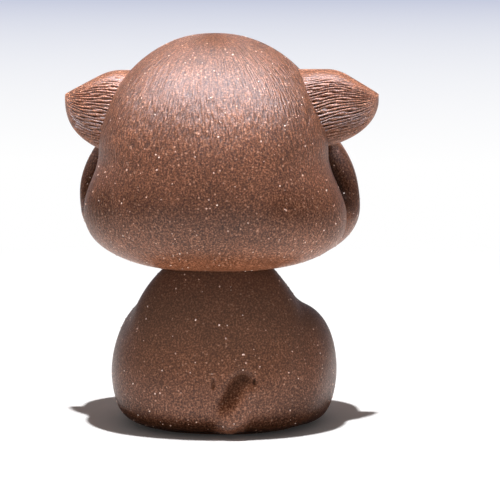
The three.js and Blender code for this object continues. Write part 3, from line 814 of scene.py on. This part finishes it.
points, faces = formSurface(bodyForm, (-24.5, -18, -0.2), (24, 22, 38.5), body["step"])
across = np.arctan2(points[:, 0], points[:, 1] - head["seam"]) * body["combRadius"]
comb = np.column_stack([across, points[:, 2], np.full(len(points), body["combStrength"])])
shells = ["body_back_shell", "body_front_shell", "haunch_left", "haunch_right", "tail"]
bodyPiece = makePiece("body", points, faces, redClay, shells, comb, crease=bodyCrease(points))
print("body made")

# face: muzzle, nose, eyes and lids, which the luting slip blends in

muzzle = {"padX": 4.7, "padZ": 42.3, "padHalf": (5.4, 3.6, 4.1), "padSink": 0.6, "chinZ": 37.7,
          "chinHalf": (3.8, 3.0, 2.6), "chinSink": 0.8, "blend": 0.8, "step": 0.14, "whiskerDent": 0.32}
nose = {"z": 46.3, "half": (2.5, 2.0, 1.7), "proud": 2.0, "step": 0.09}
eyes = {"spacing": 23.0, "z": 51.0, "half": (4.3, 1.9, 4.7), "lid": 0.9, "step": 0.13}


def muzzleForm(p):
    form = None
    muzzleX = middleAt(muzzle["padZ"])
    wide, deep, tall = muzzle["padHalf"]
    for side in (1, -1):
        centre = (muzzleX + side * muzzle["padX"],
                  faceY(muzzle["padX"], muzzle["padZ"]) + muzzle["padSink"], muzzle["padZ"])
        pad = ballForm(p, centre, muzzle["padHalf"])
        for row, column in ((0, 0), (0, 1), (0, 2), (1, 0), (1, 1), (2, 0)):
            x = centre[0] + side * (0.6 + column * 1.25 - row * 0.2)
            z = centre[2] + 1.1 - row * 1.15 + column * 0.15
            out = 1 - ((x - centre[0]) / wide) ** 2 - ((z - centre[2]) / tall) ** 2
            y = centre[1] - deep * math.sqrt(max(0.05, out))
            dent = np.linalg.norm(p - np.array((x, y, z)), axis=1) - muzzle["whiskerDent"]
            pad = smoothMax(pad, -dent, 0.15)
        form = pad if form is None else smoothMin(form, pad, 0.35)
    chinAt = (muzzleX, faceY(0, muzzle["chinZ"]) + muzzle["chinSink"], muzzle["chinZ"])
    return smoothMin(form, ballForm(p, chinAt, muzzle["chinHalf"]), muzzle["blend"])


def noseForm(p):
    # a rounded triangle with a nostril pressed in on each side
    y = nose["half"][1] - head["front"] - nose["proud"]
    centre = np.array((middleAt(muzzle["padZ"]), y, nose["z"]))
    form = ballForm(p, centre, nose["half"])
    for side in (1, -1):
        flank = (p - centre) @ np.array((side * 0.80, 0, -0.60)) - 1.65
        form = smoothMax(form, flank, 0.8)
        nostril = centre + np.array((side * 1.15, -1.65, -0.35))
        form = smoothMax(form, 0.34 - np.linalg.norm(p - nostril, axis=1), 0.2)
    return form


def eyeFrame(side):
    x = side * eyes["spacing"] / 2
    centre = np.array((head["shift"] + x, faceY(x, eyes["z"]), eyes["z"]))
    outwards = np.array(faceNormal(x, eyes["z"]))
    level = np.cross(outwards, (0, 0, 1))
    level /= np.linalg.norm(level)
    return centre, outwards, level, np.cross(level, outwards)


def eyeForm(p, side, grow=0.0):
    centre, outwards, level, upwards = eyeFrame(side)
    q = (p - centre) @ np.column_stack([level, outwards, upwards])
    return ballForm(q, (0, 0, 0), tuple(h + grow for h in eyes["half"]))


def lidForm(p, side):
    centre, outwards, level, upwards = eyeFrame(side)
    q = (p - centre) @ np.column_stack([level, outwards, upwards])
    ring = (np.hypot(q[:, 0] / eyes["half"][0], q[:, 2] / eyes["half"][2]) - 1) * 4.5
    heavier = 0.25 * smoothStep(-1, 4, q[:, 2])
    coil = np.hypot(ring, q[:, 1] - 0.1) - eyes["lid"] - heavier
    return smoothMax(coil, -eyeForm(p, side), 0.3)


def formPiece(name, form, low, high, step, clay, nodes, strength=0.15):
    points, faces = formSurface(form, low, high, step)
    comb = np.column_stack([points[:, 0], points[:, 2], np.full(len(points), strength)])
    makePiece(name, points, faces, clay, nodes, comb)


formPiece("muzzle", muzzleForm, (-10, -27, 33), (12, -14, 47), muzzle["step"], redClay,
          ["muzzle_pad_left", "muzzle_pad_right", "chin"], 0.1)
formPiece("nose_button", noseForm, (-2.2, -24.5, 44), (3.8, -19.5, 48), nose["step"], blackClay,
          ["nose"], 0)
for word, side in sides:
    middle, reach = eyeFrame(side)[0], np.array((6.6, 5.5, 6.6))
    box = (middle - reach, middle + reach, eyes["step"])
    formPiece(f"eye_ball_{word}", lambda p: eyeForm(p, side), *box, blackClay, [f"eye_{word}"], 0)
    formPiece(f"eye_rim_{word}", lambda p: lidForm(p, side), *box, redClay, [f"eyelid_{word}"])
print("face details made")

# legs: coils that end in paws, with the toes pressed apart

legs = {"x": 5.4, "radius": 4.0, "shoulder": 24.0, "pawY": -16.8, "pawHalf": (4.5, 6.0, 3.6),
        "hindOutside": 1.7, "hindY": -15.4, "hindHalf": (4.7, 7.2, 3.6), "toeWidth": 0.45,
        "blend": 1.6, "step": 0.17}


def pawForm(p, centre, half):
    form = ballForm(p, centre, half)
    for share in (-0.45, 0, 0.45):
        x = centre[0] + share * half[0] * 0.95
        front = centre[1] - half[1] * math.sqrt(1 - share ** 2)
        level = np.hypot(p[:, 1] - front - 1.1, (p[:, 2] - centre[2]) * 0.8)
        groove = np.hypot(p[:, 0] - x - 0.12 * (p[:, 1] - front) * share, np.maximum(level - 1.4, 0))
        form = smoothMax(form, legs["toeWidth"] - groove, 0.7)
    return form


def foreLegForm(p, side):
    x = side * legs["x"]
    pawZ = legs["pawHalf"][2] * 0.85
    path = np.array([(x * 1.12, -body["front"] * 0.62, legs["shoulder"]),
                     (x * 1.16, -body["front"] * 0.93, legs["shoulder"] * 0.66),
                     (x * 1.04, legs["pawY"] * 0.9, legs["shoulder"] * 0.33),
                     (x, legs["pawY"] * 0.93, pawZ * 0.9)])
    leg = rollForm(p, path, [legs["radius"] * share for share in (0.9, 1, 0.92, 0.85)])
    paw = pawForm(p, (x, legs["pawY"], pawZ), legs["pawHalf"])
    return smoothMax(smoothMin(leg, paw, legs["blend"]), -p[:, 2], 0.7)


def hindPawForm(p, side):
    x = body["haunchShift"] + side * (body["haunchX"] + legs["hindOutside"])
    paw = pawForm(p, (x, legs["hindY"], legs["hindHalf"][2] * 0.85), legs["hindHalf"])
    return smoothMax(paw, -p[:, 2], 0.7)


for word, side in sides:
    low = np.array((min(side * 1, side * 12), -24, -0.2))
    high = np.array((max(side * 1, side * 12), -3.5, 28.5))
    formPiece(f"foreleg_coil_{word}", lambda p: foreLegForm(p, side), low, high, legs["step"],
              redClay, [f"foreleg_{word}"])
    middle = body["haunchShift"] + side * (body["haunchX"] + legs["hindOutside"])
    formPiece(f"hind_toes_{word}", lambda p: hindPawForm(p, side), (middle - 5.5, -24, -0.2),
              (middle + 5.5, -7.5, 7.4), legs["step"], redClay, [f"hind_paw_{word}"])
print("legs made")

# base slab: seen only from below, so the plain disc keeps its own mesh and gets the clay
for node in bpy.data.objects:
    if node.name == "base_slab":
        for slot in node.material_slots:
            slot.material = redClay[0]

# sand: flattened quartz grains that stand a little proud of the clay, scattered over the big pieces

sandGrains = {"perSquareCm": 6.0, "smallest": 0.09, "largest": 0.24, "flatness": 0.5, "seed": 12,
              "on": ("head_back", "face", "body")}


def makeSandTree(look):
    tree = bpy.data.node_groups.new("scattered_sand", "GeometryNodeTree")
    tree.interface.new_socket("Clay", in_out="INPUT", socket_type="NodeSocketGeometry")
    for name in ("Grains per square metre", "Smallest radius", "Largest radius", "Flatness"):
        tree.interface.new_socket(name, in_out="INPUT", socket_type="NodeSocketFloat")
    tree.interface.new_socket("Seed", in_out="INPUT", socket_type="NodeSocketInt")
    tree.interface.new_socket("Grains", in_out="OUTPUT", socket_type="NodeSocketGeometry")
    given = addNode(tree, "NodeGroupInput").outputs
    spread = addNode(tree, "GeometryNodeDistributePointsOnFaces", Mesh=given["Clay"],
        Density=given["Grains per square metre"], Seed=given["Seed"])
    grain = addNode(tree, "GeometryNodeMeshIcoSphere", Radius=1.0, Subdivisions=1)
    across = addNode(tree, "FunctionNodeRandomValue", _2=given["Smallest radius"],
        _3=given["Largest radius"], _8=given["Seed"]).outputs[1]
    stretch = addNode(tree, "FunctionNodeRandomValue", _2=0.65, _3=1.0, _8=3).outputs[1]
    along = addNode(tree, "ShaderNodeMath", times, _0=across, _1=stretch)
    thick = addNode(tree, "ShaderNodeMath", times, _0=across, _1=given["Flatness"])
    size = addNode(tree, "ShaderNodeCombineXYZ", X=across, Y=along, Z=thick)
    placed = addNode(tree, "GeometryNodeInstanceOnPoints", Points=spread, Instance=grain,
        Rotation=spread.outputs["Rotation"], Scale=size)
    spin = addNode(tree, "FunctionNodeRandomValue", _2=0.0, _3=2 * math.pi, _8=5).outputs[1]
    aboutNormal = addNode(tree, "ShaderNodeCombineXYZ", Z=spin)
    turned = addNode(tree, "GeometryNodeRotateInstances", Instances=placed, Rotation=aboutNormal)
    real = addNode(tree, "GeometryNodeRealizeInstances", Geometry=turned)
    painted = addNode(tree, "GeometryNodeSetMaterial", Geometry=real, Material=look)
    addNode(tree, "NodeGroupOutput", Grains=painted)
    return tree


def scatterSand(tree, values):
    sizes = {
        "Grains per square metre": values["perSquareCm"] * 10000, "Flatness": values["flatness"],
        "Smallest radius": values["smallest"] * mm, "Largest radius": values["largest"] * mm,
    }
    sockets = {item.name: item.identifier for item in tree.interface.items_tree if item.in_out == "INPUT"}
    for number, clay in enumerate(values["on"]):
        carrier = bpy.data.objects.new("sand_on_" + clay, bpy.data.objects[clay].data)
        bpy.context.collection.objects.link(carrier)
        scatter = carrier.modifiers.new("scattered sand", "NODES")
        scatter.node_group = tree
        for name, value in sizes.items():
            scatter[sockets[name]] = value
        scatter[sockets["Seed"]] = values["seed"] + number
        evaluated = carrier.evaluated_get(bpy.context.evaluated_depsgraph_get())
        grains = bpy.data.meshes.new_from_object(evaluated)
        carrier.modifiers.remove(scatter)
        carrier.data = grains
        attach(carrier, "root")
        print("sand on", clay, len(grains.polygons), "faces")


scatterSand(makeSandTree(quartzLook), sandGrains)

# studio: a white sweep, a small lamp high above that throws the shadow, and softboxes and cards that
# light the kitten alone

studio = {
    "floorSize": 8000, "floorColour": "f0f0f0", "seenFloorColour": "f8f8f8", "farColour": "bdc3da",
    "fadeFrom": -520, "fadeTo": -2850, "roomColour": "202020", "roomFrom": 75, "roomTo": 190,
    "whiteFrom": 90, "whiteTo": 260, "fill": 0.16, "fillColour": "fff0ec", "lift": 0.014,
    # in gloss, how much of the backdrop shows, and the directions where it starts and where it is whole
    "glossShare": 0.4, "paperFrom": 0.35, "paperTo": 0.12, "frontFrom": 0.2, "frontTo": -0.1,
}
lamps = {
    "overhead": {"at": (-40, 520, 4000), "aim": (0, 0, 30), "size": (90, 90), "power": 176.0},
    # light that the kitten gets from above
    "crown": {"at": (0, 37, 1114), "size": (340, 340), "power": 15.0},
    "upperLeft": {"at": (207, 207, 1074), "size": (340, 340), "power": 4.9},
    "upperRight": {"at": (-207, 207, 1074), "size": (340, 340), "power": 4.3},
    # cards on the table, which give its light back
    "cardBehind": {"at": (-10, 190, 3), "size": (240, 240), "power": 0.19},
    "cardRight": {"at": (-190, 30, 3), "size": (240, 240), "power": 0.03},
    "cardUnder": {"at": (0, 40, 3), "size": (130, 44), "power": 0.02, "colour": "fff6f0"},
    # and more of them for the head alone
    "cardHead": {"at": (0, 40, 3), "size": (130, 44), "power": 0.04, "flag": "body", "colour": "fff8f4"},
    "cardHeadLeft": {"at": (50, 0, 3), "size": (50, 70), "power": 0.023, "flag": "body"},
    "cardHeadRight": {"at": (-50, 0, 3), "size": (50, 70), "power": 0.026, "flag": "body"},
    # wide softboxes that show in its gloss
    "sheenTop": {"at": (0, 92, 1111), "size": (1400, 1400), "power": 30.0, "flag": "body"},
    "sheenFront": {"at": (0, 593, 934), "size": (900, 620), "power": 34.0, "flag": "body"},
    "sheenLeft": {"at": (658, 176, 867), "size": (700, 700), "power": 20.0, "flag": "body"},
    "sheenRight": {"at": (-658, 176, 867), "size": (700, 700), "power": 20.0, "flag": "body"},
}
# a lamp looks at the middle of the head, and a card upwards
lampAim, cardAim = (0, 0, 55), (0, 0, 6)
lampColour, sheenColour = "ffffff", "e8f0ff"


def makeFlag(name, things):
    flag = bpy.data.collections.new(name)
    for number, thing in enumerate(things):
        flag.objects.link(thing)
        flag.collection_objects[number].light_linking.link_state = "EXCLUDE"
    return flag


def addLamp(name, values):
    data = bpy.data.lights.new(name, "AREA")
    data.shape = "RECTANGLE"
    data.size, data.size_y = values["size"][0] * mm, values["size"][1] * mm
    data.energy = values["power"]
    # the wide softboxes give the sheen alone, and the other lamps the rest
    sheen = name.startswith("sheen")
    data.color = hexColour(sheenColour if sheen else values.get("colour", lampColour))[:3]
    thing = bpy.data.objects.new(name, data)
    bpy.context.collection.objects.link(thing)
    at = Vector(values["at"])
    aim = at + Vector(cardAim) if name.startswith("card") else Vector(values.get("aim", lampAim))
    thing.location = at * mm
    thing.rotation_euler = (at - aim).to_track_quat("Z", "Y").to_euler()
    thing.visible_camera = False
    thing.visible_glossy = sheen
    thing.visible_diffuse = not sheen
    if name != "overhead":
        thing.light_linking.receiver_collection = flags[values.get("flag", "table")]


def seenDirectly(tree, glossShare):
    # 1 where the camera sees it, also through glass, and a share of it in gloss
    path = addNode(tree, "LightPath")
    inGloss = addNode(tree, "Math", times, _0=path.outputs["Is Glossy Ray"], _1=glossShare)
    either = addNode(tree, "Math", larger, _0=path.outputs["Is Camera Ray"], _1=inGloss)
    return addNode(tree, "Math", larger, _0=either, _1=path.outputs["Is Transmission Ray"])


def makeSweep(values):
    # white painted board: white near the kitten and, to the camera, paler blue-grey far behind it
    material, tree, inMm = newMaterial("white_board")
    away = addNode(tree, "SeparateXYZ", Vector=inMm).outputs[1]
    share = addNode(tree, "MapRange", Value=away, _1=values["fadeFrom"], _2=values["fadeTo"])
    tint = addNode(tree, "Mix", mixColours, _0=share, _6=(1, 1, 1, 1),
        _7=hexColour(values["farColour"])).outputs[2]
    paint = addNode(tree, "Mix", mixColours, _0=seenDirectly(tree, 1.0),
        _6=hexColour(values["floorColour"]), _7=hexColour(values["seenFloorColour"])).outputs[2]
    # in front of the kitten, below the picture, the board ends and the room is dark
    room = addNode(tree, "MapRange", Value=away, _1=values["roomFrom"], _2=values["roomTo"])
    hidden = addNode(tree, "Math", {"operation": "SUBTRACT"}, _0=1.0,
        _1=addNode(tree, "LightPath").outputs["Is Camera Ray"])
    room = addNode(tree, "Math", times, _0=room, _1=hidden)
    dark = hexColour(values["roomColour"])
    tint = addNode(tree, "Mix", mixColours, _0=room, _6=tint, _7=dark).outputs[2]
    paint = addNode(tree, "Mix", mixColours, _0=room, _6=paint, _7=dark).outputs[2]
    # in gloss the board is dull except close to the kitten
    reach = addNode(tree, "VectorMath", {"operation": "LENGTH"}, _0=inMm).outputs["Value"]
    far = addNode(tree, "MapRange", Value=reach, _1=values["whiteFrom"], _2=values["whiteTo"],
        _4=1 - values["glossShare"])
    dull = addNode(tree, "Math", times, _0=far, _1=addNode(tree, "LightPath").outputs["Is Glossy Ray"])
    paint = addNode(tree, "Mix", mixColours, _0=dull, _6=paint, _7=dark).outputs[2]
    board = addNode(tree, "BsdfDiffuse", Color=paint)
    backdrop = addNode(tree, "Emission", Color=tint, Strength=1.0)
    # the backdrop starts outside the kitten's shadow; nearer, a small share of its glow stays as painted
    # light that lightens the shadow
    outside = addNode(tree, "MapRange", Value=reach, _1=values["whiteFrom"], _2=values["whiteTo"],
        _3=values["lift"])
    seen = addNode(tree, "Math", times, _0=outside, _1=seenDirectly(tree, values["glossShare"]))
    mixed = addNode(tree, "MixShader", _0=seen, _1=board, _2=backdrop)
    addNode(tree, "OutputMaterial", Surface=mixed)
    return material


def makeFloor(values):
    half = values["floorSize"] / 2 * mm
    mesh = bpy.data.meshes.new("sweep")
    corners = [(-half, -half, 0), (half, -half, 0), (half, half, 0), (-half, half, 0)]
    mesh.from_pydata(corners, [], [(0, 1, 2, 3)])
    mesh.materials.append(makeSweep(values))
    floor = bpy.data.objects.new("sweep", mesh)
    bpy.context.collection.objects.link(floor)
    floor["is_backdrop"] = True
    return floor


def makeWorld(values):
    world = bpy.data.worlds.new("studio")
    bpy.context.scene.world = world
    world.use_nodes = True
    tree = world.node_tree
    tree.nodes.clear()
    fill = addNode(tree, "Background", Color=hexColour(values["fillColour"]), Strength=values["fill"])
    seen = addNode(tree, "Background", Color=hexColour(values["farColour"]), Strength=1.0)
    # in gloss the paper backdrop ends above the kitten's head, and the room in front is dark
    towards = addNode(tree, "SeparateXYZ", Vector=addNode(tree, "TexCoord")).outputs
    paper = addNode(tree, "MapRange", Value=towards[2], _1=values["paperFrom"], _2=values["paperTo"])
    behind = addNode(tree, "MapRange", Value=towards[1], _1=values["frontFrom"], _2=values["frontTo"])
    paper = addNode(tree, "Math", times, _0=paper, _1=behind)
    share = addNode(tree, "Math", times, _0=paper, _1=values["glossShare"])
    mixed = addNode(tree, "MixShader", _0=seenDirectly(tree, share), _1=fill, _2=seen)
    addNode(tree, "OutputWorld", Surface=mixed)


sweep = makeFloor(studio)
# every lamp but the overhead one is flagged off the table, so that the shadow stays clean, and some
# are flagged off the body too, which is duller than the head
flags = {
    "table": makeFlag("table_out", [sweep]),
    "body": makeFlag("table_and_body_out", [sweep, bodyPiece]),
}
for lampName, lampValues in lamps.items():
    addLamp(lampName, lampValues)
makeWorld(studio)
bpy.context.scene.view_settings.view_transform = "Standard"
print("studio lit")

low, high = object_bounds()
